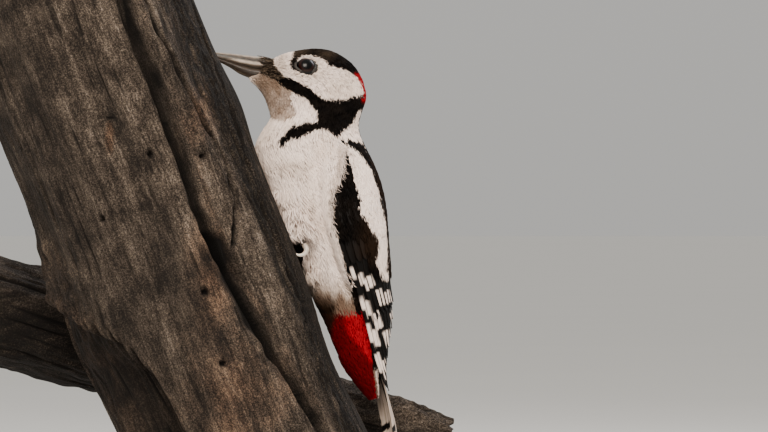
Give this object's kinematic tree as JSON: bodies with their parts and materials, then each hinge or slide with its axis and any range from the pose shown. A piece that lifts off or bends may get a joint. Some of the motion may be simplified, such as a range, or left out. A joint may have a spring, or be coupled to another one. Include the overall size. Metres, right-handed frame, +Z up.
{
  "type": "great spotted woodpecker",
  "caption": "Life-size museum-style model of a male great spotted woodpecker clinging to a cut length of weathered trunk, held over a flat base by short rods.",
  "frame": {"origin": "centre of the footprint box, on the floor under the stand's base", "axes": "+Z up, -X the way the bill points, -Y towards the bird's left side"},
  "size_m": [0.2298, 0.1388, 0.254],
  "materials": {
    "white_feather": "soft matte whitish contour feathers with black markings",
    "black_feather": "satin black flight feathers with white bars",
    "tail_feather": "matte red undertail coverts over stiff black and white tail feathers",
    "bill_horn": "grey horn with fine lengthwise wear",
    "claw_horn": "pale smooth horn",
    "foot_scale": "grey scaled skin",
    "eye": "wet gloss, very dark brown",
    "bark": "weathered bare wood, cracked along the grain",
    "stand_wood": "dark satin wood",
    "stand_steel": "brushed"
  },
  "bodies": {
    "root": {"head": "white_feather", "bill_upper": "bill_horn", "bill_lower": "bill_horn", "eye_left": "eye", "eye_right": "eye", "neck": "white_feather", "torso": "white_feather", "tail": "tail_feather", "wing_left": "black_feather", "wing_right": "black_feather", "leg_left": "white_feather", "leg_right": "white_feather", "foot_left": "foot_scale", "foot_right": "foot_scale", "claw_left_inner": "claw_horn", "claw_left_middle": "claw_horn", "claw_left_outer": "claw_horn", "claw_left_hind": "claw_horn", "claw_right_inner": "claw_horn", "claw_right_middle": "claw_horn", "claw_right_outer": "claw_horn", "claw_right_hind": "claw_horn", "perch_trunk": "bark", "stand_base": "stand_wood", "stand_rod_1": "stand_steel", "stand_rod_2": "stand_steel"}
  },
  "joints": []
}
